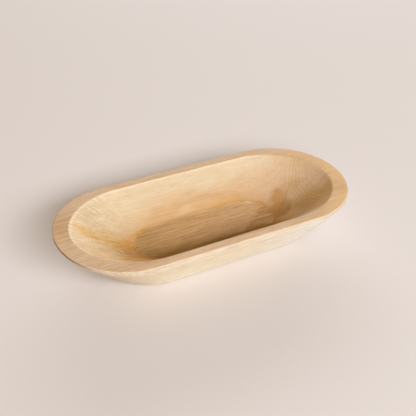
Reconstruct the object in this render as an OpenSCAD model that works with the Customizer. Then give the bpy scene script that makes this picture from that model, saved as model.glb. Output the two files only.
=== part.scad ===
// Dough bowl carved from one block of pale wood.
// It lies along X, its underside rests on Z = 0, and the origin is under its middle.
// Every level of the bowl is an outline with straight sides and rounded ends.
// The skin is a loft through those levels: up the outside, over the rim, down into the hollow.

/* [Overall] */
// Length over the rim
bowl_length = 400; // [320:5:560]
// Width over the rim
bowl_width = 187; // [160:1:240]
// Height of the rim above the table
bowl_height = 54.5; // [44:0.5:80]

/* [Rim] */
// Length of the rim's rounded ends
rim_round = 90; // [60:1:130]
// Width of the flat rim along the two sides
rim_side_width = 13.3; // [8:0.1:18]
// Width of the flat rim at the tips of the two ends
rim_end_width = 20; // [12:0.5:26]
// Height of the upright edge under the rim along the sides
edge_side_height = 6; // [5:0.5:10]
// Height of the upright edge under the rim at the tips
edge_end_height = 4.2; // [3.8:0.2:8]
// How far the rim's outer corner is eased
outer_ease = 1.5; // [0.6:0.1:1.8]
// How far the rim's inner corner is eased
inner_ease = 1.8; // [0.6:0.1:3]
// How far the corner between the upright edge and the wall is eased
edge_ease = 1.6; // [0.6:0.1:1.8]

/* [Outer wall] */
// How far the foot lies inside the rim along the sides
foot_side_inset = 30; // [18:1:36]
// How far the foot lies inside the rim at the tips
foot_end_inset = 56; // [36:1:70]
// How far the foot's corner is eased
foot_ease = 3; // [1:0.5:6]
// How far the outer wall bellies out, from 0 for straight
belly_share = 0.06; // [0:0.02:0.4]

/* [Hollow] */
// Length of the rounded ends of the hollow's mouth
mouth_round = 90; // [60:1:120]
// Thickness of the wood under the floor
floor_thickness = 13.5; // [8:0.5:20]
// How far the floor lies inside the hollow's mouth along the sides
floor_side_inset = 42; // [30:1:48]
// How far the floor lies inside the hollow's mouth at the tips
floor_end_inset = 83; // [60:1:96]
// How far the corner round the floor is blended
floor_blend = 4; // [2:0.5:10]
// How deep the hollow's wall is scooped, from 0 for straight
scoop_share = 0.12; // [0:0.02:0.6]

/* [Hidden] */

// Steps of the loft, counted along each stretch
round_steps = 22; // in a quarter of an outline's rounded end
side_steps = 2; // along half of a straight side
corner_steps = 3; // over an eased corner
belly_steps = 7; // up the outer wall
scoop_steps = 11; // down the hollow's wall

// The turn of a rounded end from the side to the tip
quarter_turn = 90;

// How far the loft reaches below the table before the underside is planed flat
planing = 2;

// The outlines, as [half length, half width, length of a rounded end].
// The rim's and the mouth's ends have lengths of their own; the others are half circles.
function round_ended(half) = [half.x, half.y, half.y];
rim_outline = [bowl_length / 2, bowl_width / 2, rim_round];
mouth_outline = [rim_outline.x - rim_end_width, rim_outline.y - rim_side_width, mouth_round];
foot_outline = round_ended(rim_outline - [foot_end_inset, foot_side_inset, 0]);
floor_outline = round_ended(mouth_outline - [floor_end_inset, floor_side_inset, 0]);

function mix(a, b, share) = a + (b - a) * share;
function unit(v) = v / norm(v);

// A point of a quarter outline at a step, from the middle of a side round to the tip
function quarter_point(outline, step) =
    let (round = min(outline.z, outline.x), straight = outline.x - round)
    step <= side_steps
        ? [straight * step / side_steps, outline.y]
        : let (turn = quarter_turn * (step - side_steps) / round_steps)
          [straight + round * sin(turn), outline.y * cos(turn)];

// How much a step belongs to the end: 0 along the side, rising smoothly to 1 at the tip
function end_share(step) =
    step <= side_steps ? 0 : pow(sin(quarter_turn * (step - side_steps) / round_steps), 2);

// The steps of the whole outline, as [step in its quarter, sign of x, sign of y]
quarter_steps = side_steps + round_steps;
outline_steps = concat(
    [for (k = [0 : quarter_steps - 1]) [k, 1, 1]],
    [for (k = [quarter_steps : -1 : 1]) [k, 1, -1]],
    [for (k = [0 : quarter_steps - 1]) [k, -1, -1]],
    [for (k = [quarter_steps : -1 : 1]) [k, -1, 1]]);

// One corner of the section at an outline step, at height z
function corner(outline, at, z) =
    let (p = quarter_point(outline, at[0]))
    [p.x * at[1], p.y * at[2], z];

function edge_height(at) = mix(edge_side_height, edge_end_height, end_share(at[0]));

// Quadratic curve from a to c that is pulled towards b, less this many points at each end
function curve(a, b, c, steps, left_out = 0) =
    [for (k = [left_out : steps - left_out])
        let (t = k / steps)
        (1 - t) * (1 - t) * a + 2 * t * (1 - t) * b + t * t * c];

// The corner at b eased over a distance, on the way from a to c
function eased(a, b, c, ease) =
    curve(b + ease * unit(a - b), b, b + ease * unit(c - b), corner_steps);

// The wall between two eased corners, whose end points belong to the corners
function wall(a, ease_a, pull, c, ease_c, steps) =
    curve(a + ease_a * unit(pull - a), pull, c + ease_c * unit(pull - c), steps, 1);

// The point that a wall is pulled to: from its straight line towards the knee
function pull_point(top, knee, bottom, share) = mix((top + bottom) / 2, knee, share);

// The section at one outline step: from the underside, up the outer wall, over the rim
// and down the hollow's wall to the floor
function section(at) =
    let (
        foot = corner(foot_outline, at, 0),
        underside = corner(foot_outline - [1, 1, 1] * foot_ease, at, 0),
        edge = corner(rim_outline, at, bowl_height - edge_height(at)),
        rim = corner(rim_outline, at, bowl_height),
        mouth = corner(mouth_outline, at, bowl_height),
        floor_edge = corner(floor_outline, at, floor_thickness),
        floor_in = corner(floor_outline - [1, 1, 1] * floor_blend, at, floor_thickness),
        belly = pull_point(edge, [edge.x, edge.y, 0], foot, belly_share),
        scoop = pull_point(mouth, [mouth.x, mouth.y, floor_thickness], floor_edge, scoop_share)
    )
    concat(
        [underside - [0, 0, planing]],
        eased(underside, foot, belly, foot_ease),
        wall(foot, foot_ease, belly, edge, edge_ease, belly_steps),
        eased(belly, edge, rim, edge_ease),
        eased(edge, rim, mouth, outer_ease),
        eased(rim, mouth, scoop, inner_ease),
        wall(mouth, inner_ease, scoop, floor_edge, floor_blend, scoop_steps),
        eased(scoop, floor_edge, floor_in, floor_blend));

// The loft: one section for each outline step, joined side by side, with the underside
// and the floor closed by a fan of faces round a point in the middle of each
module carved_block() {
    sections = [for (at = outline_steps) section(at)];
    around = len(sections);
    along = len(sections[0]);
    under_middle = around * along;
    floor_middle = under_middle + 1;
    faces = [for (i = [0 : around - 1])
        let (here = i * along, next = (i + 1) % around * along)
        each concat(
            [[under_middle, next, here]],
            [for (k = [0 : along - 2])
                each [[here + k, next + k, next + k + 1],
                      [here + k, next + k + 1, here + k + 1]]],
            [[floor_middle, here + along - 1, next + along - 1]])];
    polyhedron(
        points = concat([for (s = sections) each s],
                        [[0, 0, -planing], [0, 0, floor_thickness]]),
        faces = faces, convexity = 4);
}

// The underside is planed flat, so the bowl stands on one plane
module plane_cut() {
    translate([-bowl_length, -bowl_width, -planing - bowl_height])
        cube([2 * bowl_length, 2 * bowl_width, planing + bowl_height]);
}

module bowl() {
    color("burlywood")
    difference() {
        carved_block();
        plane_cut();
    }
}

bowl();
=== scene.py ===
"""Long oval dough bowl, carved from one block of pale wood, standing on a plain pale floor."""

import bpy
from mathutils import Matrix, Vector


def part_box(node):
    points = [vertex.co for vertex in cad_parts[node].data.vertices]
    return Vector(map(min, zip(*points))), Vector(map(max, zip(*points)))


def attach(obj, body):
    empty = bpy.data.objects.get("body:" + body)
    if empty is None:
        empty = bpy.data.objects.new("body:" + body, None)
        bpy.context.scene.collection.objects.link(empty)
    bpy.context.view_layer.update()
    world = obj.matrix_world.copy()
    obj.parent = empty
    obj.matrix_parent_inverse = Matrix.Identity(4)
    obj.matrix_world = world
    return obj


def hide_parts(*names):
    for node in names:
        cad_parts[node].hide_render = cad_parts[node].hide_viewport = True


bl_info = {
    "name": "Dough Bowl",
    "version": (1, 0, 0),
    "blender": (4, 5, 0),
    "location": "View3D > Sidebar > Dough Bowl",
    "description": "Carves a long oval dough bowl and sets it on a pale floor in soft light",
    "category": "Add Mesh",
}

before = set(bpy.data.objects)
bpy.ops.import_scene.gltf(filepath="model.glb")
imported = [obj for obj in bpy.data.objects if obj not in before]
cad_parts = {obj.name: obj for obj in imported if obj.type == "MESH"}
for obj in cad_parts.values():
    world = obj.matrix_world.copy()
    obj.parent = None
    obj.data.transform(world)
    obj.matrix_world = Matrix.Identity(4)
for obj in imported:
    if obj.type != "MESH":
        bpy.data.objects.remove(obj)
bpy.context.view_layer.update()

from collections import namedtuple
from math import copysign, cos, pi, radians, sin

import bmesh
import bpy
from bpy.props import FloatProperty, FloatVectorProperty, PointerProperty
from mathutils import Matrix, Vector, noise

BOX_LOW, BOX_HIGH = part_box("bowl")
BOX_SIZE = BOX_HIGH - BOX_LOW


def distance(name, description, default):
    """A length in metres, shown in the scene's units."""
    return FloatProperty(name=name, description=description, default=default,
                         min=0.0, subtype="DISTANCE", unit="LENGTH")


def share(name, description, default):
    """A plain number between 0 and 1."""
    return FloatProperty(name=name, description=description, default=default,
                         min=0.0, max=1.0, subtype="FACTOR")


def colour(name, description, default):
    """A colour as the scene's linear red, green and blue."""
    return FloatVectorProperty(name=name, description=description, default=default,
                               min=0.0, max=1.0, size=3, subtype="COLOR")


def angle(name, description, default):
    """An angle, given here in degrees."""
    return FloatProperty(name=name, description=description, default=radians(default),
                         subtype="ANGLE", unit="ROTATION")


def power(name, description, default):
    """The power of a lamp in watts."""
    return FloatProperty(name=name, description=description, default=default, min=0.0, unit="POWER")


class DoughBowlSizes(bpy.types.PropertyGroup):
    """Sizes of the carved bowl."""

    length: distance("Length", "Length over the rim", BOX_SIZE.x)
    width: distance("Width", "Width over the rim", BOX_SIZE.y)
    height: distance("Height", "Height of the rim above the table", BOX_SIZE.z)
    rim_round: distance("Rim ends", "Length of the rim's rounded ends", 0.090)
    rim_side_width: distance("Rim at the sides", "Width of the flat rim along the sides", 0.0133)
    rim_end_width: distance("Rim at the ends", "Width of the flat rim at the tips", 0.020)
    edge_side_height: distance("Edge at the sides", "Upright edge under the rim, at the sides", 0.006)
    edge_end_height: distance("Edge at the ends", "Upright edge under the rim, at the tips", 0.0042)
    outer_ease: distance("Outer easing", "How far the rim's outer corner is eased", 0.0015)
    inner_ease: distance("Inner easing", "How far the rim's inner corner is eased", 0.0018)
    edge_ease: distance("Edge easing", "How far the corner under the upright edge is eased", 0.0016)
    foot_side_inset: distance("Foot at the sides", "How far the foot lies inside the rim's side", 0.030)
    foot_end_inset: distance("Foot at the ends", "How far the foot lies inside the rim's tip", 0.056)
    foot_ease: distance("Foot easing", "How far the foot's corner is eased", 0.003)
    belly_share: share("Belly", "How far the outer wall bellies out", 0.06)
    mouth_round: distance("Mouth ends", "Length of the mouth's rounded ends", 0.090)
    floor_thickness: distance("Floor thickness", "Wood left under the hollow's floor", 0.0135)
    floor_side_inset: distance("Floor at the sides", "How far the floor lies inside the mouth's side", 0.042)
    floor_end_inset: distance("Floor at the ends", "How far the floor lies inside the mouth's tip", 0.083)
    floor_blend: distance("Floor blending", "How far the corner round the floor is blended", 0.004)
    scoop_share: share("Scoop", "How deep the hollow's wall is scooped", 0.12)
    tool_depth: distance("Tool marks", "How deep the carving tool's shallow hollows are", 0.0005)


class DoughBowlWood(bpy.types.PropertyGroup):
    """Colours and grain of the wood."""

    outer_colour: colour("Outer wall", "Pale sapwood of the outer wall", (0.68, 0.55, 0.38))
    # Painted light: the outer wall paler towards the foot, where light bounced from the floor falls
    floor_bounce_colour: colour("Low outer wall", "Outer wall towards the foot", (0.70, 0.59, 0.43))
    white_outer_colour: colour("Right outer wall", "Outer wall towards the right end",
                               (0.68, 0.61, 0.515))
    edge_colour: colour("Upright edge", "Upright edge under the rim", (0.56, 0.435, 0.305))
    # Painted shade: dark brown on the upright edge at the left end, the side turned away from the light
    edge_shade_colour: colour("Dark edge", "End grain in the upright edge at the left end",
                             (0.34, 0.19, 0.09))
    rim_colour: colour("Rim", "Sanded wood of the flat rim", (0.61, 0.405, 0.236))
    # Partly the wood's golden tone, partly painted light falling from the right
    gold_rim_colour: colour("Rim's right end", "Golden end grain at the right end", (0.68, 0.425, 0.205))
    brown_rim_colour: colour("Rim's brown grain", "Brown left end and brown streaks of the rim",
                             (0.52, 0.31, 0.145))
    wall_colour: colour("Hollow's wall", "Upper wall of the hollow", (0.60, 0.445, 0.27))
    low_wall_colour: colour("Low wall", "Hollow's wall towards the floor", (0.52, 0.30, 0.13))
    # Painted light: the hollow's left end paler, where that wall faces the light
    painted_light_end_colour: colour("Pale end", "Pale wood of the hollow's left end", (0.69, 0.50, 0.30))
    # Painted light: a paler warm colour low at the right end, on the wall and the floor's corner, where more
    # light falls
    painted_light_colour: colour("Warm patch", "Paler warm wood low at the right end", (0.80, 0.53, 0.27))
    rosy_colour: colour("Rosy patches", "Patches in the hollow's wall", (0.63, 0.405, 0.235))
    floor_colour: colour("Hollow's floor", "Floor of the hollow", (0.62, 0.366, 0.168))
    pale_floor_colour: colour("Floor's right end", "Floor towards the flame", (0.645, 0.395, 0.20))
    knot_colour: colour("Knot", "Orange-brown wood of the grown-in knot", (0.51, 0.265, 0.092))
    # Wear and a painted highlight on the rim's corners
    worn_and_highlit_colour: colour("Worn edges", "Paler wood where the rim's corners are rubbed", (0.74, 0.56, 0.375))
    # The line round the floor is painted shade in the crease where the wall meets the floor; the heartwood
    # at the right end is the wood's own
    heart_colour: colour("Heartwood", "Darker heartwood at the right end and line round the floor",
                         (0.512, 0.29, 0.102))
    flame_colour: colour("Flame", "Browner flame on the floor", (0.55, 0.315, 0.135))
    # The dark colour also paints the shadow line beside the scrape at the left end
    dark_colour: colour("Dark grain", "The flame's edge, bark and cracks at the knot, and a groove",
                        (0.44, 0.22, 0.075))
    golden_colour: colour("Golden patches", "Golden stain at the left end", (0.64, 0.352, 0.085))
    # Painted shade: a darker colour on the floor's left and front-left corners, where shade falls
    painted_shade_colour: colour("Corner", "Darkened wood in the floor's left corner", (0.46, 0.27, 0.095))
    glow_colour: colour("Amber glow", "Bright amber low in the front wall's left end", (0.78, 0.46, 0.13))
    # Painted shadow: a dark olive band along the floor's front edge, where the front wall's shadow falls
    front_shadow_colour: colour("Olive shade", "Darkened wood along the floor's front edge", (0.33, 0.23, 0.07))
    amber_colour: colour("Amber", "Amber stain in the corner round the floor", (0.59, 0.272, 0.052))
    scrape_colour: colour("Scrape", "Fresh wood in the scrape at the left end", (0.80, 0.56, 0.27))
    ring_gap: distance("Ring gap", "Distance between two growth rings", 0.0025)
    ring_tone: share("Ring tone", "How dark the growth lines are", 0.14)
    pale_ring_tone: share("Pale ring tone", "How pale the rings at the right end are", 0.15)
    fibre_tone: share("Fibre tone", "How dark the fibres and streaks are", 0.38)
    streak_tone: share("Mark tone", "How dark the scratches and the tool's strokes are", 0.18)
    mottle_tone: share("Mottle", "How much the colour drifts over the wood", 0.14)
    roughness: share("Roughness", "How dull the sanded wood is", 0.75)
    bump_depth: distance("Fibre depth", "How deep the fibres stand in the surface", 0.00016)


class DoughBowlStage(bpy.types.PropertyGroup):
    """Floor, light and camera."""

    floor_colour: colour("Floor", "Colour of the floor", (0.70, 0.62, 0.56))
    floor_radius: distance("Floor radius", "Radius of the round floor", 1.5)
    camera_azimuth: angle("Camera azimuth", "Turn of the camera round the bowl", -28.679)
    camera_elevation: angle("Camera elevation", "Angle of the camera above the table", 33.883)
    camera_roll: angle("Camera roll", "Turn of the camera about its own line of sight", 1.083)
    camera_distance: distance("Camera distance", "From the camera to the point that it looks at", 0.9766)
    camera_target: FloatVectorProperty(name="Camera target", description="Point that the camera looks at",
                                       default=(-0.00424, -0.01205, 0.0543), size=3,
                                       subtype="TRANSLATION", unit="LENGTH")
    camera_lens: FloatProperty(name="Lens", description="Focal length in millimetres on a 36 mm sensor",
                               default=66.888, min=1.0)
    front_azimuth: angle("Front lamp azimuth", "Turn of the front lamp round the bowl", 0.0)
    front_elevation: angle("Front lamp elevation", "Angle of the front lamp above the table", 30.0)
    front_width: distance("Front lamp width", "Width of the front lamp's soft strip", 4.8)
    front_height: distance("Front lamp height", "Height of the front lamp's soft strip", 1.44)
    front_power: power("Front lamp power", "Power of the front lamp", 400.0)
    front_colour: colour("Front lamp colour", "Colour of the front lamp", (0.800, 0.885, 1.0))
    back_azimuth: angle("Back lamp azimuth", "Turn of the back lamp round the bowl", 150.0)
    back_elevation: angle("Back lamp elevation", "Angle of the back lamp above the table", 12.0)
    back_width: distance("Back lamp width", "Width of the back lamp's soft strip", 4.56)
    back_height: distance("Back lamp height", "Height of the back lamp's soft strip", 1.2)
    back_power: power("Back lamp power", "Power of the back lamp", 268.0)
    back_colour: colour("Back lamp colour", "Colour of the back lamp", (0.820, 0.895, 1.0))
    lamp_distance: distance("Lamp distance", "From each lamp to the bowl", 4.8)
    fill_strength: FloatProperty(name="Fill", description="Strength of the even light from all round",
                                 default=0.290, min=0.0)
    fill_colour: colour("Fill colour", "Colour of the even light from all round", (1.0, 0.70, 0.36))
    backdrop_colour: colour("Backdrop", "Colour that the camera sees past the floor", (0.72, 0.64, 0.58))


# The bowl's shape

ROUND_SEGMENTS = 64  # round one rounded end, from side to side
SIDE_CUTS = 44  # along each straight side
UNDER_STEPS = 3  # from the underside's middle to the foot
WALL_STEPS = 12  # up the outer wall
SCOOP_STEPS = 18  # down the hollow's wall
RIM_STEPS = 4  # across the flat rim
FLOOR_STEPS = 9  # from the floor's edge to its middle
CORNER_SEGMENTS = 4  # over an eased corner

# The section's corners: the foot, the upright edge's two, the mouth and the floor's edge
FOOT, LOW_EDGE, RIM_EDGE, MOUTH, FLOOR_LINE = range(5)

LONG_WAVES = (18, 55, 55)  # the tool's waves per metre along X, Y and Z
SHORT_WAVES = (60, 120, 120)
SHORT_SHIFT = 7  # keeps the short waves from starting where the long ones do
TOOL_MEAN = 0.5  # parts of the tool's depth: the mean and the two waves
LONG_SHARE = 0.4
SHORT_SHARE = 0.15

ORDER_BASE = 2 ** 17  # more than the mesh has vertices


class Level:
    """One level of the bowl: an outline with straight sides and rounded ends, at a height that may
    differ between the sides and the tips."""

    def __init__(self, half_length, half_width, round_length, side_height, end_height=None):
        tip = side_height if end_height is None else end_height
        self.values = Vector((half_length, half_width, round_length, side_height, tip))

    def mixed(self, other, part):
        """The level this part of the way to another."""
        return Level(*self.values.lerp(other.values, part))

    def at_height(self, height):
        """The level moved to one height all round."""
        return Level(*self.values[:3], height)

    def inset(self, amount):
        """The level drawn in by this much all round."""
        length, width, round_length, side, tip = self.values
        return Level(length - amount, width - amount, round_length - amount, side, tip)

    def point(self, place):
        """Where a place on the outline lies: its x and y on a rounded end, and how far along the
        side it is, from -1 to 1."""
        length, width, round_length, side_height, end_height = self.values
        return Vector((place.z * (length - round_length) + place.x * round_length,
                       place.y * width,
                       side_height + (end_height - side_height) * place.x ** 2))


def curved(start, pull, finish, steps):
    """Levels between two levels on a curve that is pulled towards a third, without its ends."""
    return [start.mixed(pull, k / steps).mixed(pull.mixed(finish, k / steps), k / steps)
            for k in range(1, steps)]


def bowl_levels(sizes):
    """The levels from the underside up the outer wall, over the rim and down to the floor. Each
    comes with how far its corner is eased and its place in the section, which goes up by 1 from
    corner to corner and on to the floor's middle."""
    half_length, half_width = sizes.length / 2, sizes.width / 2
    rim = Level(half_length, half_width, sizes.rim_round, sizes.height)
    edge = Level(half_length, half_width, sizes.rim_round,
                 sizes.height - sizes.edge_side_height, sizes.height - sizes.edge_end_height)
    mouth = Level(half_length - sizes.rim_end_width, half_width - sizes.rim_side_width,
                  sizes.mouth_round, sizes.height)
    foot_width = half_width - sizes.foot_side_inset
    foot = Level(half_length - sizes.foot_end_inset, foot_width, foot_width, 0)
    floor_width = mouth.values[1] - sizes.floor_side_inset
    floor = Level(mouth.values[0] - sizes.floor_end_inset, floor_width, floor_width,
                  sizes.floor_thickness)
    belly = edge.mixed(foot, 0.5).mixed(edge.at_height(0), sizes.belly_share)
    scoop = mouth.mixed(floor, 0.5).mixed(mouth.at_height(sizes.floor_thickness), sizes.scoop_share)
    last_inset = floor_width * (1 - 0.5 / FLOOR_STEPS)

    def plain(levels, start, count):
        """Levels without a corner, after a start in the section, in steps of 1 / count."""
        return [(level, 0.0, start + (k + 1) / count) for k, level in enumerate(levels)]

    return [
        *plain([foot.inset(foot_width / UNDER_STEPS), foot.inset(2 * sizes.foot_ease)],
               FOOT - 1, UNDER_STEPS),
        (foot, sizes.foot_ease, FOOT),
        *plain(curved(foot, belly, edge, WALL_STEPS), FOOT, WALL_STEPS),
        (edge, sizes.edge_ease, LOW_EDGE),
        (rim, sizes.outer_ease, RIM_EDGE),
        *plain([rim.mixed(mouth, k / RIM_STEPS) for k in range(1, RIM_STEPS)], RIM_EDGE,
               RIM_STEPS),
        (mouth, sizes.inner_ease, MOUTH),
        *plain(curved(mouth, scoop, floor, SCOOP_STEPS)[:-1], MOUTH, SCOOP_STEPS),
        (floor, sizes.floor_blend, FLOOR_LINE),
        *plain([floor.inset(last_inset * k / FLOOR_STEPS) for k in range(1, FLOOR_STEPS + 1)],
               FLOOR_LINE, FLOOR_STEPS),
    ]


def first_ring(bm, place, level):
    """A closed ring of edges along a level's outline. Each vertex keeps its place on the outline."""
    segments = 2 * ROUND_SEGMENTS
    verts = bmesh.ops.create_circle(bm, cap_ends=False, radius=1.0, segments=segments)["verts"]
    half_step = Matrix.Rotation(pi / segments, 3, "Z")
    bmesh.ops.rotate(bm, verts=verts, cent=(0, 0, 0), matrix=half_step)
    for vert in verts:
        vert[place] = (vert.co.x, vert.co.y, copysign(1, vert.co.x))
    sides = [edge for edge in bm.edges if edge.verts[0].co.x * edge.verts[1].co.x < 0]
    bmesh.ops.subdivide_edges(bm, edges=sides, cuts=SIDE_CUTS)
    for vert in bm.verts:
        vert.co = level.point(vert[place])
    return list(bm.edges)


def next_ring(bm, place, ring, level):
    """The ring extruded and moved to the next level."""
    made = bmesh.ops.extrude_edge_only(bm, edges=ring)["geom"]
    verts = {item for item in made if isinstance(item, bmesh.types.BMVert)}
    for vert in verts:
        vert.co = level.point(vert[place])
    return [item for item in made
            if isinstance(item, bmesh.types.BMEdge) and verts.issuperset(item.verts)]


def close_ring(bm, ring):
    """Fills a ring with strips that run across it."""
    chains = [[edge for edge in ring if all(side * vert.co.y > 0 for vert in edge.verts)]
              for side in (1, -1)]
    bmesh.ops.bridge_loops(bm, edges=chains[0] + chains[1])


def waves(point, density, shift=0):
    """Smooth noise at a point, with this many waves per metre along X, Y and Z."""
    x, y, z = (value * count for value, count in zip(point, density))
    return noise.noise(Vector((x + shift, y, z)))


def tool_hollow(point, depth):
    """How deep the carving tool has gone at a point: long shallow hollows that follow the grain."""
    long_waves = waves(point, LONG_WAVES)
    short_waves = waves(point, SHORT_WAVES, SHORT_SHIFT)
    return depth * (TOOL_MEAN + LONG_SHARE * long_waves + SHORT_SHARE * short_waves)


def face_order(face):
    """A number that puts the faces in the same order in each run, which bevelling doesn't."""
    first, second, third = sorted(vert.index for vert in face.verts)[:3]
    return (first * ORDER_BASE + second) * ORDER_BASE + third


def carve_body(sizes):
    """The mesh of the whole bowl."""
    bm = bmesh.new()
    place = bm.verts.layers.float_vector.new("outline_place")
    section = bm.verts.layers.float.new("section")
    levels, eases, stations = zip(*bowl_levels(sizes))
    rings = [first_ring(bm, place, levels[0])]
    for level in levels[1:]:
        rings.append(next_ring(bm, place, rings[-1], level))
    for ring, station in zip(rings, stations):
        for edge in ring:
            for vert in edge.verts:
                vert[section] = station
    close_ring(bm, rings[0])
    close_ring(bm, rings[-1])
    for ring, ease in zip(rings, eases):
        if ease:
            bmesh.ops.bevel(bm, geom=ring, offset=ease, offset_type="OFFSET", affect="EDGES",
                            segments=CORNER_SEGMENTS, profile=0.5, material=-1)
    bmesh.ops.recalc_face_normals(bm, faces=bm.faces)
    bm.normal_update()
    moves = [(vert, vert.normal * tool_hollow(vert.co, sizes.tool_depth))
             for vert in bm.verts if vert[section] > FOOT]
    for vert, move in moves:
        vert.co -= move
    bm.verts.index_update()
    bm.faces.sort(key=face_order)
    return bm


class DOUGHBOWL_OT_carve(bpy.types.Operator):
    """Carve the bowl and finish its wood"""

    bl_idname = "doughbowl.carve"
    bl_label = "Carve the Bowl"
    bl_options = {"REGISTER", "UNDO"}

    def execute(self, context):
        bm = carve_body(context.scene.dough_bowl_sizes)
        for face in bm.faces:
            face.smooth = True
        mesh = bpy.data.meshes.new("carved_bowl")
        bm.to_mesh(mesh)
        bm.free()
        piece = bpy.data.objects.new("carved_bowl", mesh)
        context.scene.collection.objects.link(piece)
        mesh.materials.append(wood_material(context.scene.dough_bowl_wood))
        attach(piece, "root")
        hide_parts("bowl")
        return {"FINISHED"}


# The wood

# A soft spot in the wood: its middle and how far it reaches along X, Y and Z in metres, its turn
# about Z in degrees, and its strength
Patch = namedtuple("Patch", "middle reach turn strength", defaults=(0.0, 1.0))

# Noise: the size of its clumps along X, Y and Z in metres, and how fine it is
SWAY = {"size": (0.16, 0.05, 0.05), "output": "Color"}
FRAY = {"size": (0.014, 0.014, 0.014), "detail": 4.0, "roughness": 0.7, "output": "Color"}
UNEVEN_GAPS = {"size": (0.6, 0.02, 0.02), "detail": 0.0}
BREAKS = {"size": (0.008, 0.009, 0.004), "detail": 1.0}
FIBRES = {"size": (0.05, 0.0016, 0.0016), "detail": 3.0, "roughness": 0.6}
STREAKS = {"size": (0.09, 0.006, 0.006)}
SCRATCHES = {"size": (0.022, 0.0010, 0.0014), "detail": 1.0}
PORES = {"size": (0.010, 0.0011, 0.0011), "detail": 1.0}
DRIFT = {"size": (0.11, 0.04, 0.04)}
BLUSH = {"size": (0.045, 0.02, 0.012)}
TEETH = {"size": (0.012, 0.0022, 0.0022), "detail": 1.0}
RAGS = {"size": (0.02, 0.005, 0.005), "detail": 3.0}
STROKES = {"size": (0.028, 0.028, 0.30)}  # over the outline and the section, not in metres
SWAY_REACH = (0.0, 0.006, 0.006)  # metres by which the grain sways
FRAY_REACH = (0.016, 0.016, 0.0)  # metres by which the knot's edges are frayed

# Ranges: where a mask is 0 and where it is 1, or also its two strengths there. A region is
# several ranges, each with the name of what it measures. The section runs from 0 at the foot
# over the upright edge at 1 and 2 and the mouth at 3 to the floor's edge at 4
PORE_RANGE = (0.60, 0.72)
RAG_RANGE = (0.30, 0.60)
MARK_RANGE = (0.34, 0.66, -0.5, 0.5)
IN_HOLLOW = (2.96, 2.995)
BELOW_RIM = (2.0, 1.85)
BELOW_EDGE = (1.15, 0.95)
FLOOR_EDGE = 0.0137  # height at which the wall meets the floor
ON_FLOOR = (FLOOR_EDGE + 0.0003, FLOOR_EDGE - 0.0001)
LEFT_END = (-0.07, -0.135)

# The knot, grown in at the right end of the hollow, with a narrow upper and a wider lower lobe
KNOT_TURN = 60.0
KNOT = (Patch((0.117, 0.011, 0.022), (0.026, 0.016, 0.05), KNOT_TURN, 0.9),
        Patch((0.108, -0.007, 0.018), (0.026, 0.021, 0.05), KNOT_TURN))

# The flame: darker wood with a jagged slanting edge, at the right end of the floor
FLAME_START = 0.076  # where it begins along the bowl
FLAME_SLANT = 1.26  # how far that moves along for each step across
FLAME_TEETH = 0.034  # how far its teeth reach
FLAME = (("jagged", FLAME_START - 0.0006, FLAME_START + 0.0010), ("height", 0.0168, 0.0140),
         ("slanted", 0.098, 0.122, 1.0, 0.4))
FLAME_BORDER = (FLAME_START + 0.013, FLAME_START + 0.002)

# The golden stain at the left end
GOLDEN = (Patch((-0.150, 0.021, 0.041), (0.036, 0.014, 0.05), -38.0),
          Patch((-0.124, 0.006, 0.027), (0.050, 0.036, 0.04), -38.0, 0.8),
          Patch((-0.122, -0.042, 0.033), (0.038, 0.026, 0.03)))
GOLDEN_FRONT = (("along", *LEFT_END), ("across", 0.010, -0.040, 0.0, 0.5))

HEART = (0.0, -0.008, 0.112)  # a point on the tree's heart, in metres
HEART_TILT = 1.5  # degrees by which the heart dips towards the right end
KNOT_SWELLING = 0.008  # metres by which the rings swell round the knot


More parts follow.
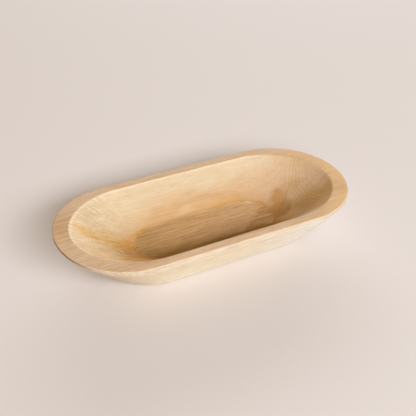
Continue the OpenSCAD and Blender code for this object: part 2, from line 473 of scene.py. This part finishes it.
class Pattern:
    """Adds nodes to a material or a world. A value may be a number, a vector or another node's
    output."""

    def __init__(self, owner):
        self.tree = owner.node_tree

    def node(self, kind, inputs, **settings):
        node = self.tree.nodes.new("ShaderNode" + kind)
        for name, value in settings.items():
            setattr(node, name, value)
        for name, value in inputs.items():
            self.give(node.inputs[name], value)
        return node

    def give(self, socket, value):
        """Links a socket to another node's output, or sets it to a constant."""
        if isinstance(value, bpy.types.NodeSocket):
            self.tree.links.new(value, socket)
        else:
            socket.default_value = value

    def attribute(self, name, output):
        """A value that the mesh keeps at each vertex."""
        return self.node("Attribute", {}, attribute_name=name,
                         attribute_type="GEOMETRY").outputs[output]

    def math(self, operation, *values):
        return self.node("Math", dict(enumerate(values)), operation=operation).outputs[0]

    def vector(self, operation, *values):
        return self.node("VectorMath", dict(enumerate(values)), operation=operation).outputs[0]

    def both(self, *values):
        """The product of several masks."""
        product = values[0]
        for value in values[1:]:
            product = self.math("MULTIPLY", product, value)
        return product

    def either(self, *values):
        """The strongest of several masks."""
        strongest = values[0]
        for value in values[1:]:
            strongest = self.math("MAXIMUM", strongest, value)
        return strongest

    def beyond(self, mask):
        """1 where a mask is 0, and 0 where it is 1."""
        return self.math("SUBTRACT", 1.0, mask)

    def centred(self, value):
        """Noise less its mean of a half."""
        return self.math("SUBTRACT", value, 0.5)

    def added(self, base, value, factor):
        """A base and this many times a value."""
        return self.math("MULTIPLY_ADD", value, factor, base)

    def length(self, vector):
        return self.node("VectorMath", {0: vector}, operation="LENGTH").outputs["Value"]

    def placed(self, vector, centre=(0, 0, 0), turn=(0, 0, 0), size=(1, 1, 1)):
        """The vector as seen from a centre, turned, and measured in units of a size."""
        return self.node("Mapping", {"Vector": vector, "Location": centre, "Rotation": turn,
                                     "Scale": size}, vector_type="TEXTURE").outputs[0]

    def cloud(self, vector, size, detail=2.0, roughness=0.5, output="Fac"):
        """Noise whose clumps have about this size along X, Y and Z."""
        spread = self.placed(vector, size=size)
        return self.node("TexNoise", {"Vector": spread, "Scale": 1.0, "Detail": detail,
                                      "Roughness": roughness}).outputs[output]

    def ramp(self, value, low, high, to_low=0.0, to_high=1.0):
        """Smoothly from to_low to to_high as the value goes from low to high."""
        return self.node("MapRange", {"Value": value, "From Min": low, "From Max": high,
                                      "To Min": to_low, "To Max": to_high},
                         interpolation_type="SMOOTHSTEP").outputs[0]

    def spot(self, vector, patch):
        """1 in the middle of a patch, falling to 0 at its reach."""
        place = self.placed(vector, patch.middle, (0, 0, radians(patch.turn)), patch.reach)
        return self.ramp(self.length(place), 1.0, 0.0)

    def mix(self, amount, one, other):
        """From one colour to another. Inputs 6 and 7 and output 2 are the Mix node's colours."""
        node = self.node("Mix", {"Factor": amount}, data_type="RGBA")
        for socket, colour in ((node.inputs[6], one), (node.inputs[7], other)):
            is_linked = isinstance(colour, bpy.types.NodeSocket)
            self.give(socket, colour if is_linked else (*colour, 1.0))
        return node.outputs[2]


class BowlPattern(Pattern):
    """Where a point of the bowl lies, and the noise and the masks that the wood's colours share."""

    def __init__(self, material):
        super().__init__(material)
        self.where = self.node("TexCoord", {}).outputs["Object"]
        self.along, self.across, self.height = self.node("SeparateXYZ", {0: self.where}).outputs
        self.section = self.attribute("section", "Fac")
        self.swayed = self.moved(SWAY, SWAY_REACH)
        self.frayed = self.moved(FRAY, FRAY_REACH)
        self.fibre = self.cloud(self.swayed, **FIBRES)
        self.streak = self.cloud(self.swayed, **STREAKS)
        self.drift = self.cloud(self.where, **DRIFT)
        self.pore = self.ramp(self.cloud(self.swayed, **PORES), *PORE_RANGE)
        self.ragged = self.ramp(self.cloud(self.swayed, **RAGS), *RAG_RANGE)
        self.hollow = self.ramp(self.section, *IN_HOLLOW)
        self.floor = self.ramp(self.height, *ON_FLOOR)
        self.wall = self.beyond(self.floor)
        self.knot = self.patches(KNOT, self.frayed)
        from_heart = self.placed(self.swayed, HEART, (0, radians(HEART_TILT), 0))
        radius = self.length(self.vector("MULTIPLY", from_heart, (0, 1, 1)))
        self.grown = self.math("SUBTRACT", radius,
                               self.math("MULTIPLY", self.knot, KNOT_SWELLING))
        self.slanted = self.added(self.along, self.across, -FLAME_SLANT)
        teeth = self.centred(self.cloud(self.where, **TEETH))
        self.jagged = self.added(self.slanted, teeth, FLAME_TEETH)
        self.flame = self.within(FLAME)
        self.golden = self.either(self.patches(GOLDEN, self.where), self.within(GOLDEN_FRONT))

    def moved(self, noise, reach):
        """Where a point lies once noise has moved it, by up to about half this reach each way."""
        push = self.vector("SUBTRACT", self.cloud(self.where, **noise), (0.5, 0.5, 0.5))
        return self.vector("MULTIPLY_ADD", push, reach, self.where)

    def within(self, region, *masks):
        """A region, kept within further masks."""
        ramps = [self.ramp(getattr(self, name), *limits) for name, *limits in region]
        return self.both(*ramps, *masks)

    def patch(self, patch, *masks):
        """A patch, kept within further masks."""
        return self.both(self.spot(self.where, patch), *masks, patch.strength)

    def patches(self, patches, vector):
        """Several patches as one mask, in the coordinates of a vector."""
        return self.either(*[self.both(self.spot(vector, patch), patch.strength)
                             for patch in patches])

    def dab(self, base, patch, colour, *masks):
        """A base colour with a patch of another colour."""
        return self.mix(self.patch(patch, *masks), base, colour)


# The rim, the upright edge and the outer wall

RIM_STREAKS = (0.35, 0.6, 0.65, 1.0)
# Golden right end of the rim: the wood's tone and painted light from the right
GOLD_END = (("along", 0.09, 0.17), ("across", 0.085, 0.045))
# Brown left tip of the rim: brown grain and painted shade on the side away from the light
BROWN_TIP = Patch((-0.183, 0.034, 0.054), (0.045, 0.05, 0.1))
TAWNY = (Patch((0.100, -0.088, 0.054), (0.050, 0.020, 0.02)),
         Patch((-0.152, -0.078, 0.054), (0.036, 0.020, 0.02), strength=0.5),
         Patch((0.178, -0.046, 0.054), (0.026, 0.022, 0.02)))
TAWNY_STRENGTH = 0.5
NEAR_MOUTH = (("section", 2.40, 2.85), ("streak", 0.40, 0.60))
MOUTH_RIGHT = (0.130, 0.165)
MOUTH_RIGHT_STRENGTH = 0.7
MOUTH_FRONT = (-0.065, -0.080)
MOUTH_STRENGTH = 0.55
# Painted shade on the upright edge at the left end
EDGE_SHADE = Patch((-0.200, -0.016, 0.052), (0.05, 0.075, 0.05))
# Painted light bounced from the floor, low on the outer wall
FLOOR_BOUNCE = (0.75, 0.2)
WHITE_OUTER = (-0.01, 0.12, 0.0, 0.9)


def rim_colour(bowl, wood):
    """Golden at the right end and brown at the left one, with brown streaks beside the mouth."""
    both, ramp = bowl.both, bowl.ramp
    streaky = ramp(bowl.streak, *RIM_STREAKS)
    colour = bowl.mix(bowl.within(GOLD_END, streaky), wood.rim_colour, wood.gold_rim_colour)
    colour = bowl.dab(colour, BROWN_TIP, wood.brown_rim_colour, streaky)
    tawny = both(bowl.patches(TAWNY, bowl.where), streaky, TAWNY_STRENGTH)
    colour = bowl.mix(tawny, colour, wood.brown_rim_colour)
    sides = bowl.either(both(ramp(bowl.along, *MOUTH_RIGHT), MOUTH_RIGHT_STRENGTH),
                        ramp(bowl.across, *MOUTH_FRONT))
    streaks = bowl.within(NEAR_MOUTH, sides, MOUTH_STRENGTH)
    return bowl.mix(streaks, colour, wood.brown_rim_colour)


def outer_colour(bowl, wood):
    """The upright edge, darker at the left end with painted shade, and the outer wall, paler towards the
    foot with painted light bounced from the floor and whiter at the right end.
    """
    edge = bowl.dab(wood.edge_colour, EDGE_SHADE, wood.edge_shade_colour)
    outer = bowl.mix(bowl.ramp(bowl.section, *FLOOR_BOUNCE), wood.outer_colour, wood.floor_bounce_colour)
    outer = bowl.mix(bowl.ramp(bowl.along, *WHITE_OUTER), outer, wood.white_outer_colour)
    return bowl.mix(bowl.ramp(bowl.section, *BELOW_EDGE), edge, outer)


# The hollow's wall and floor

LOW_DRIFT = 0.7
LOW_WALL = (3.42, 3.92)
LOW_WALL_ALONG = (-0.10, -0.05, 0.4, 0.9)
# Painted light on the hollow's left end, the wall that faces the light
PAINTED_LIGHT_LEFT_END = (("along", *LEFT_END), ("across", 0.065, 0.030, 0.3, 1.0),
            ("across", -0.045, -0.015, 0.5, 1.0))
PAINTED_LIGHT_LEFT_END_STRENGTH = 0.9
BLUSH_RANGE = (0.48, 0.66)
BLUSH_ALONG = (-0.10, -0.05, 0.2, 0.55)
ROSY_BACK = (("along", 0.07, 0.12), ("across", -0.04, 0.01))
ROSY_STRENGTH = 0.85
ROSY_TOP = (3.15, 3.4)
ROSY_RIGHT = (0.12, 0.15)
ROSY_LOW = (4.0, 3.9)
HEARTWOOD = (("along", 0.09, 0.14), ("across", 0.014, -0.030),
             ("section", 2.98, 3.05, 0.75, 1.0))
UPPER_RIGHT = Patch((0.162, 0.036, 0.049), (0.020, 0.022, 0.02), strength=0.35)
# Painted light on the low wall at the right end
PAINTED_LIGHT_WALL = Patch((0.100, -0.031, 0.020), (0.042, 0.026, 0.024), -25.0)
BROWNER = Patch((0.142, 0.014, 0.035), (0.026, 0.024, 0.03), strength=0.85)
LIGHTER = Patch((0.165, -0.006, 0.047), (0.022, 0.034, 0.02), strength=0.9)
PALE_BED = (-0.02, 0.06, 0.0, 0.8)
DIM_BED = (("across", 0.008, 0.030), ("along", 0.03, -0.04, 0.0, 0.6))
FLAME_STRENGTH = 0.85
BORDER_STRENGTH = 0.25


def wall_colour(bowl, wood):
    """Paler at the left end with painted light, rosy in patches, browner at the right end, with a patch of
    painted light low there.
    """
    both, ramp = bowl.both, bowl.ramp
    uneven = bowl.added(bowl.section, bowl.centred(bowl.drift), LOW_DRIFT)
    low = both(ramp(uneven, *LOW_WALL), ramp(bowl.along, *LOW_WALL_ALONG))
    colour = bowl.mix(low, wood.wall_colour, wood.low_wall_colour)
    colour = bowl.mix(bowl.within(PAINTED_LIGHT_LEFT_END, PAINTED_LIGHT_LEFT_END_STRENGTH), colour, wood.painted_light_end_colour)
    blush = both(ramp(bowl.cloud(bowl.where, **BLUSH), *BLUSH_RANGE),
                 ramp(bowl.along, *BLUSH_ALONG))
    upper = bowl.either(ramp(bowl.section, *ROSY_TOP), ramp(bowl.along, *ROSY_RIGHT))
    rosy = both(bowl.either(blush, bowl.within(ROSY_BACK, ROSY_STRENGTH)), upper,
                ramp(bowl.section, *ROSY_LOW))
    colour = bowl.mix(rosy, colour, wood.rosy_colour)
    colour = bowl.mix(bowl.within(HEARTWOOD), colour, wood.heart_colour)
    for patch, tone in ((UPPER_RIGHT, wood.heart_colour), (PAINTED_LIGHT_WALL, wood.painted_light_colour),
                        (BROWNER, wood.low_wall_colour), (LIGHTER, wood.rosy_colour)):
        colour = bowl.dab(colour, patch, tone)
    return colour


def bed_colour(bowl, wood):
    """The hollow's floor, paler towards the flame."""
    colour = bowl.mix(bowl.ramp(bowl.along, *PALE_BED), wood.floor_colour, wood.pale_floor_colour)
    return bowl.mix(bowl.within(DIM_BED), colour, wood.low_wall_colour)


def with_flame(bowl, wood, colour):
    """The flame on the floor and its darker edge."""
    colour = bowl.mix(bowl.both(bowl.flame, FLAME_STRENGTH), colour, wood.flame_colour)
    border = bowl.both(bowl.flame, bowl.ramp(bowl.jagged, *FLAME_BORDER), BORDER_STRENGTH)
    return bowl.mix(border, colour, wood.dark_colour)


# The knot

KNOT_CORE = (0.0, 0.7)
KNOT_STRENGTH = 0.9
BARK = (("knot", 0.02, 0.25), ("knot", 0.60, 0.30), ("slanted", 0.110, 0.122))
BARK_STRENGTH = 0.5
CRACKS = (Patch((0.117, -0.004, 0.022), (0.011, 0.0024, 0.02), 38.0),
          Patch((0.114, -0.020, 0.023), (0.010, 0.0022, 0.02), 48.0))
CRACK_STRENGTH = 0.9


def with_knot(bowl, wood, colour):
    """A soft knot with a darker bark round its right side and two short cracks."""
    core = bowl.both(bowl.ramp(bowl.knot, *KNOT_CORE), KNOT_STRENGTH)
    colour = bowl.mix(core, colour, wood.knot_colour)
    colour = bowl.mix(bowl.within(BARK, BARK_STRENGTH), colour, wood.dark_colour)
    cracks = bowl.both(bowl.patches(CRACKS, bowl.frayed), CRACK_STRENGTH)
    return bowl.mix(cracks, colour, wood.dark_colour)


# Stains, marks, and painted shade and light in the hollow

RAGGED_STAIN = (0.0, 1.0, 0.6, 1.0)
CORNER_TOP = (-0.05, -0.10, 0.0215, 0.0280)  # how high the corner's stain reaches, and where
CORNER_FULL = 0.0145  # height below which it is full
CORNER_LEFT = (("along", -0.07, -0.095), ("across", 0.035, 0.010, 0.35, 1.0))
CORNER_BACK = Patch((0.055, 0.041, 0.015), (0.05, 0.012, 0.02), strength=0.6)
RAGGED_AMBER = Patch((-0.112, 0.002, 0.020), (0.028, 0.019, 0.03), -35.0)
AMBER = (Patch((-0.086, 0.0285, 0.016), (0.032, 0.0065, 0.02), 24.0),
         Patch((-0.106, -0.028, 0.021), (0.040, 0.017, 0.03), -8.0),
         Patch((-0.117, -0.013, 0.023), (0.022, 0.014, 0.02), -60.0, 0.8))
AMBER_STRENGTH = 0.85
GLOW = Patch((-0.100, -0.032, 0.020), (0.040, 0.011, 0.02), -5.0, 0.8)
# Painted shade on the floor's left and front-left corners
PAINTED_FLOOR_SHADE = (Patch((-0.088, -0.016, 0.014), (0.050, 0.030, 0.02), -15.0),
          Patch((-0.090, 0.012, 0.014), (0.055, 0.050, 0.03), strength=0.8),
          Patch((-0.060, -0.026, 0.014), (0.060, 0.022, 0.02)))
PAINTED_FLOOR_SHADE_STRENGTH = 0.9
# Painted shade: a thin dark line in the crease where the wall meets the floor
SEAM = (("section", 4.04, 4.01), ("height", FLOOR_EDGE + 0.0019, FLOOR_EDGE + 0.0004),
        ("streak", 0.35, 0.55), ("along", 0.095, 0.075), ("along", -0.085, -0.055))
SEAM_STRENGTH = 0.6
LOW_STAIN = Patch((0.022, 0.046, 0.019), (0.034, 0.010, 0.008), strength=0.6)
# Painted shadow of the front wall, along the floor's front edge
FRONT_SHADOW = Patch((0.008, -0.0305, 0.014), (0.064, 0.0100, 0.02), strength=0.75)
# Painted light on the floor's right-front corner
PAINTED_LIGHT_FLOOR = Patch((0.088, -0.025, 0.014), (0.026, 0.013, 0.02), strength=0.9)
RIGHT_SEAM = Patch((0.093, 0.019, 0.0148), (0.013, 0.011, 0.005), strength=0.55)
# Painted shadow along the scrape's edge
SCRAPE_SHADOW = Patch((-0.1262, -0.0098, 0.0265), (0.0125, 0.0022, 0.02), -60.0, 0.8)
SCRAPE = Patch((-0.1238, -0.0076, 0.0253), (0.0135, 0.0021, 0.02), -60.0)


def with_stains(bowl, wood, colour):
    """Golden at the left end, amber in the corner round the floor's left end."""
    both, ramp = bowl.both, bowl.ramp
    uneven = ramp(bowl.ragged, *RAGGED_STAIN)
    colour = bowl.mix(both(bowl.golden, uneven), colour, wood.golden_colour)
    corner = both(ramp(bowl.height, ramp(bowl.along, *CORNER_TOP), CORNER_FULL), bowl.wall)
    ends = bowl.either(bowl.within(CORNER_LEFT), bowl.patch(CORNER_BACK))
    amber = bowl.either(both(corner, ends, uneven), bowl.patch(RAGGED_AMBER, bowl.ragged),
                        bowl.patches(AMBER, bowl.where))
    colour = bowl.mix(both(amber, AMBER_STRENGTH), colour, wood.amber_colour)
    return bowl.dab(colour, GLOW, wood.glow_colour)


def with_marks(bowl, wood, colour):
    """Painted shade on the floor's corners, a painted shadow along its front edge, painted light at its
    right-front corner, painted shade in the crease round it, and a scrape beside its painted shadow at the
    left end.
    """
    painted_shade = bowl.both(bowl.patches(PAINTED_FLOOR_SHADE, bowl.where), bowl.floor, PAINTED_FLOOR_SHADE_STRENGTH)
    colour = bowl.mix(painted_shade, colour, wood.painted_shade_colour)
    colour = bowl.mix(bowl.within(SEAM, SEAM_STRENGTH), colour, wood.heart_colour)
    colour = bowl.dab(colour, LOW_STAIN, wood.low_wall_colour)
    colour = bowl.dab(colour, FRONT_SHADOW, wood.front_shadow_colour, bowl.floor)
    colour = bowl.dab(colour, PAINTED_LIGHT_FLOOR, wood.painted_light_colour, bowl.floor)
    colour = bowl.dab(colour, RIGHT_SEAM, wood.amber_colour)
    colour = bowl.dab(colour, SCRAPE_SHADOW, wood.dark_colour)
    return bowl.dab(colour, SCRAPE, wood.scrape_colour)


# The rim's two corners

# Wear and a painted highlight along the rim's corners, strongest at the back where the inner corner faces
# the light
INNER_CORNER = (("section", *IN_HOLLOW), ("section", 3.07, 3.005),
                ("across", -0.03, 0.03, 0.6, 1.0), ("along", 0.15, 0.10))
OUTER_CORNER = (("section", 1.85, 1.98), ("section", 2.10, 2.02))
OUTER_WEAR_AND_HIGHLIGHT = 0.3
WORN_AND_HIGHLIT_DRIFT = (0.3, 0.6, 0.6, 1.0)


def with_worn_and_highlit_corners(bowl, wood, colour):
    """The rim's corners are paler: wear and a painted highlight, the inner one at the back most."""
    corners = bowl.either(bowl.within(INNER_CORNER), bowl.within(OUTER_CORNER, OUTER_WEAR_AND_HIGHLIGHT))
    rubbed_and_highlit = bowl.both(corners, bowl.ramp(bowl.drift, *WORN_AND_HIGHLIT_DRIFT))
    return bowl.mix(rubbed_and_highlit, colour, wood.worn_and_highlit_colour)


# The growth rings

GAP_CHANGE = 0.003  # metres by which uneven gaps move a ring
RING_START = (0.1, 0.75)  # where a line starts and stops, as parts of the gap
RING_STOP = (1.0, 0.8)
PALE_YEARS = (("grown", 0.066, 0.070), ("grown", 0.083, 0.079), ("along", 0.05, 0.12),
              ("section", 2.9, 3.1))
BREAK_RANGE = (0.42, 0.62)
FAINT_ALONG = (-0.09, -0.03, 0.5, 0.25)
KNOT_RINGS = 0.6


def ring_lines(bowl, wood):
    """The lines of the years: first those that are faint and broken, then the pale ones that one
    group of years leaves at the right end."""
    both, ramp = bowl.both, bowl.ramp
    uneven = bowl.added(bowl.grown, bowl.cloud(bowl.where, **UNEVEN_GAPS), GAP_CHANGE)
    step = bowl.math("FRACT", bowl.math("DIVIDE", uneven, wood.ring_gap))
    line = both(ramp(step, *RING_START), ramp(step, *RING_STOP))
    pale = bowl.within(PALE_YEARS)
    broken = both(ramp(bowl.cloud(bowl.swayed, **BREAKS), *BREAK_RANGE),
                  ramp(bowl.along, *FAINT_ALONG), bowl.beyond(pale))
    faint = bowl.either(broken, both(bowl.knot, KNOT_RINGS))
    return both(line, faint), both(line, pale)


# The grain's darkness

STREAK_SHARE = 0.6
MEAN_DARKNESS = 0.8
STROKE_LEFT = (-0.085, -0.125)
STROKE_RIGHT = (0.09, 0.14, 0.0, 0.35)
STROKE_LOW = (4.0, 3.8)
PORE_TONE = 0.12
PLAIN_STRENGTH = 0.90  # how strong the grain is on the rim and the outer wall
CALM_CHANGE = -0.42  # what the wall between the hollow's ends adds to that
FLOOR_CHANGE = 0.50  # what the floor adds
FIGURE_CHANGE = 0.60  # what the golden stain, the flame and the knot add
RIGHT_CHANGE = -0.35  # what the right end adds outside the hollow
CALM_LEFT = (-0.125, -0.085)
CALM_RIGHT = (0.155, 0.115)
RIGHT_OUTSIDE = (0.10, 0.15)
TINT = (-0.75, -1.0, -1.3)  # how much darkness takes from the red, the green and the blue


def grain_strength(bowl):
    """How strongly the grain shows in each part of the bowl."""
    both, ramp = bowl.both, bowl.ramp
    calm = both(bowl.hollow, bowl.wall, ramp(bowl.along, *CALM_LEFT), ramp(bowl.along, *CALM_RIGHT))
    figure = both(bowl.hollow, bowl.either(bowl.golden, bowl.flame, bowl.knot))
    right = both(ramp(bowl.along, *RIGHT_OUTSIDE), bowl.beyond(bowl.hollow))
    strength = bowl.added(PLAIN_STRENGTH, calm, CALM_CHANGE)
    strength = bowl.added(strength, both(bowl.hollow, bowl.floor), FLOOR_CHANGE)
    strength = bowl.added(strength, figure, FIGURE_CHANGE)
    return bowl.added(strength, right, RIGHT_CHANGE)


def tool_marks(bowl):
    """Fine scratches along the grain, and strokes down the wall at the hollow's two ends. Inputs
    2 and 3 and output 0 are the Mix node's numbers."""
    scratch = bowl.ramp(bowl.cloud(bowl.where, **SCRATCHES), *MARK_RANGE)
    section = bowl.node("CombineXYZ", {"Z": bowl.section}).outputs[0]
    down = bowl.vector("MULTIPLY_ADD", bowl.attribute("outline_place", "Vector"),
                       (1.0, 1.0, 0.0), section)
    stroke = bowl.ramp(bowl.cloud(down, **STROKES), *MARK_RANGE)
    ends = bowl.both(bowl.either(bowl.ramp(bowl.along, *STROKE_LEFT),
                                 bowl.ramp(bowl.along, *STROKE_RIGHT)),
                     bowl.hollow, bowl.ramp(bowl.section, *STROKE_LOW))
    return bowl.node("Mix", {0: ends, 2: scratch, 3: stroke}).outputs[0]


def grain_tint(bowl, wood):
    """Grain and drift darken the colour, the blue most of all."""
    faint_rings, pale_rings = ring_lines(bowl, wood)
    dark = bowl.added(bowl.math("SUBTRACT", bowl.fibre, MEAN_DARKNESS), bowl.streak, STREAK_SHARE)
    dark = bowl.math("MULTIPLY", dark, wood.fibre_tone)
    for mark, tone in ((tool_marks(bowl), wood.streak_tone), (faint_rings, wood.ring_tone),
                       (pale_rings, -wood.pale_ring_tone), (bowl.pore, PORE_TONE)):
        dark = bowl.added(dark, mark, tone)
    dark = bowl.math("MULTIPLY", dark, grain_strength(bowl))
    dark = bowl.added(dark, bowl.centred(bowl.drift), wood.mottle_tone)
    dark = bowl.node("CombineXYZ", {0: dark, 1: dark, 2: dark}).outputs[0]
    return bowl.vector("MULTIPLY_ADD", dark, TINT, (1.0, 1.0, 1.0))


# The whole wood

ROUGHNESS_CHANGE = 0.25  # how much the roughness differs between fibres
SHEEN = 0.06  # specular level of bare wood
PORE_RELIEF = -0.6  # how deep pores lie, in fibre depths
FIBRE_RELIEF = -1.0  # how deep dark fibres lie


def wood_material(wood):
    """Solid wood with its rings round a heart above the bowl, and its own tone on each face."""
    material = bpy.data.materials.new("carved_wood")
    material.use_nodes = True
    shader = material.node_tree.nodes["Principled BSDF"]
    bowl = BowlPattern(material)
    inner = bowl.mix(bowl.floor, wall_colour(bowl, wood), bed_colour(bowl, wood))
    for add_figure in (with_flame, with_knot, with_stains, with_marks):
        inner = add_figure(bowl, wood, inner)
    colour = bowl.mix(bowl.ramp(bowl.section, *BELOW_RIM), rim_colour(bowl, wood),
                      outer_colour(bowl, wood))
    colour = with_worn_and_highlit_corners(bowl, wood, bowl.mix(bowl.hollow, colour, inner))
    bowl.give(shader.inputs["Base Color"],
              bowl.vector("MULTIPLY", colour, grain_tint(bowl, wood)))
    bowl.give(shader.inputs["Roughness"],
              bowl.added(wood.roughness, bowl.centred(bowl.fibre), ROUGHNESS_CHANGE))
    bowl.give(shader.inputs["Specular IOR Level"], SHEEN)
    relief = bowl.added(bowl.math("MULTIPLY", bowl.fibre, FIBRE_RELIEF), bowl.pore, PORE_RELIEF)
    bump = bowl.node("Bump", {"Strength": 1.0, "Distance": wood.bump_depth, "Height": relief})
    bowl.give(shader.inputs["Normal"], bump.outputs[0])
    return material


# The stage

FLOOR_SEGMENTS = 128  # round the floor's edge
FLOOR_ROUGHNESS = 0.9
SENSOR_WIDTH = 36.0  # millimetres


def look_direction(azimuth, elevation):
    """The unit vector from the bowl towards something at this azimuth and elevation."""
    return Vector((sin(azimuth) * cos(elevation), -cos(azimuth) * cos(elevation), sin(elevation)))


def facing(place, target, roll=0.0):
    """The placing of a camera or lamp that looks from a place to a target."""
    back = (place - target).normalized()
    right = Vector((0, 0, 1)).cross(back).normalized()
    up = back.cross(right)
    turned_right = right * cos(roll) + up * sin(roll)
    turned_up = up * cos(roll) - right * sin(roll)
    return Matrix.Translation(place) @ Matrix((turned_right, turned_up, back)).transposed().to_4x4()


def add_floor(context, stage):
    """A plain round floor at the height of the table."""
    bm = bmesh.new()
    bmesh.ops.create_circle(bm, cap_ends=True, segments=FLOOR_SEGMENTS, radius=stage.floor_radius)
    mesh = bpy.data.meshes.new("floor")
    bm.to_mesh(mesh)
    bm.free()
    floor = bpy.data.objects.new("floor", mesh)
    context.scene.collection.objects.link(floor)
    material = bpy.data.materials.new("pale_floor")
    material.use_nodes = True
    shader = material.node_tree.nodes["Principled BSDF"]
    shader.inputs["Base Color"].default_value = (*stage.floor_colour, 1.0)
    shader.inputs["Roughness"].default_value = FLOOR_ROUGHNESS
    mesh.materials.append(material)


def add_camera(context, stage):
    """The photograph's camera."""
    data = bpy.data.cameras.new("photo_camera")
    data.sensor_width = SENSOR_WIDTH
    data.lens = stage.camera_lens
    data.dof.use_dof = False
    camera = bpy.data.objects.new("photo_camera", data)
    context.scene.collection.objects.link(camera)
    target = Vector(stage.camera_target)
    back = look_direction(stage.camera_azimuth, stage.camera_elevation)
    camera.matrix_world = facing(target + back * stage.camera_distance, target, stage.camera_roll)
    context.scene.camera = camera


def add_lamp(context, stage, side):
    """A wide soft strip of light in front of the bowl or behind it."""
    data = bpy.data.lights.new(side + "_lamp", "AREA")
    data.shape = "RECTANGLE"
    data.size = getattr(stage, side + "_width")
    data.size_y = getattr(stage, side + "_height")
    data.energy = getattr(stage, side + "_power")
    data.color = getattr(stage, side + "_colour")
    lamp = bpy.data.objects.new(side + "_lamp", data)
    context.scene.collection.objects.link(lamp)
    direction = look_direction(getattr(stage, side + "_azimuth"), getattr(stage, side + "_elevation"))
    lamp.matrix_world = facing(direction * stage.lamp_distance, Vector((0, 0, 0)))


def add_world(context, stage):
    """Even light from all round. The camera sees the backdrop's colour instead."""
    world = bpy.data.worlds.new("even_light")
    world.use_nodes = True
    world.node_tree.nodes.clear()
    pattern = Pattern(world)
    path = pattern.node("LightPath", {}).outputs
    seen = pattern.either(path["Is Camera Ray"], path["Is Transmission Ray"])
    fill, backdrop = (
        pattern.node("Background", {"Color": (*colour, 1.0), "Strength": strength}).outputs[0]
        for colour, strength in ((stage.fill_colour, stage.fill_strength),
                                 (stage.backdrop_colour, 1.0)))
    mixed = pattern.node("MixShader", {0: seen, 1: fill, 2: backdrop}).outputs[0]
    pattern.node("OutputWorld", {"Surface": mixed})
    context.scene.world = world


class DOUGHBOWL_OT_stage(bpy.types.Operator):
    """Lay the floor, light the bowl and place the camera"""

    bl_idname = "doughbowl.stage"
    bl_label = "Set the Stage"
    bl_options = {"REGISTER", "UNDO"}

    def execute(self, context):
        stage = context.scene.dough_bowl_stage
        add_floor(context, stage)
        add_camera(context, stage)
        add_lamp(context, stage, "front")
        add_lamp(context, stage, "back")
        add_world(context, stage)
        context.scene.view_settings.view_transform = "Standard"
        return {"FINISHED"}


class DOUGHBOWL_PT_panel(bpy.types.Panel):
    """Lists the bowl's sizes, its wood and the stage"""

    bl_idname = "DOUGHBOWL_PT_panel"
    bl_label = "Dough Bowl"
    bl_space_type = "VIEW_3D"
    bl_region_type = "UI"
    bl_category = "Dough Bowl"

    def draw(self, context):
        scene = context.scene
        for title, group, operator in (
            ("Sizes", scene.dough_bowl_sizes, None),
            ("Wood", scene.dough_bowl_wood, DOUGHBOWL_OT_carve),
            ("Stage", scene.dough_bowl_stage, DOUGHBOWL_OT_stage),
        ):
            box = self.layout.box()
            box.label(text=title)
            for name in group.__annotations__:
                box.prop(group, name)
            if operator:
                box.operator(operator.bl_idname)


CLASSES = (
    DoughBowlSizes,
    DoughBowlWood,
    DoughBowlStage,
    DOUGHBOWL_OT_carve,
    DOUGHBOWL_OT_stage,
    DOUGHBOWL_PT_panel,
)


def register():
    for cls in CLASSES:
        bpy.utils.register_class(cls)
    bpy.types.Scene.dough_bowl_sizes = PointerProperty(type=DoughBowlSizes)
    bpy.types.Scene.dough_bowl_wood = PointerProperty(type=DoughBowlWood)
    bpy.types.Scene.dough_bowl_stage = PointerProperty(type=DoughBowlStage)


def unregister():
    del bpy.types.Scene.dough_bowl_stage
    del bpy.types.Scene.dough_bowl_wood
    del bpy.types.Scene.dough_bowl_sizes
    for cls in reversed(CLASSES):
        bpy.utils.unregister_class(cls)


def main():
    register()
    bpy.ops.doughbowl.carve()
    bpy.ops.doughbowl.stage()


if __name__ == "__main__":
    main()
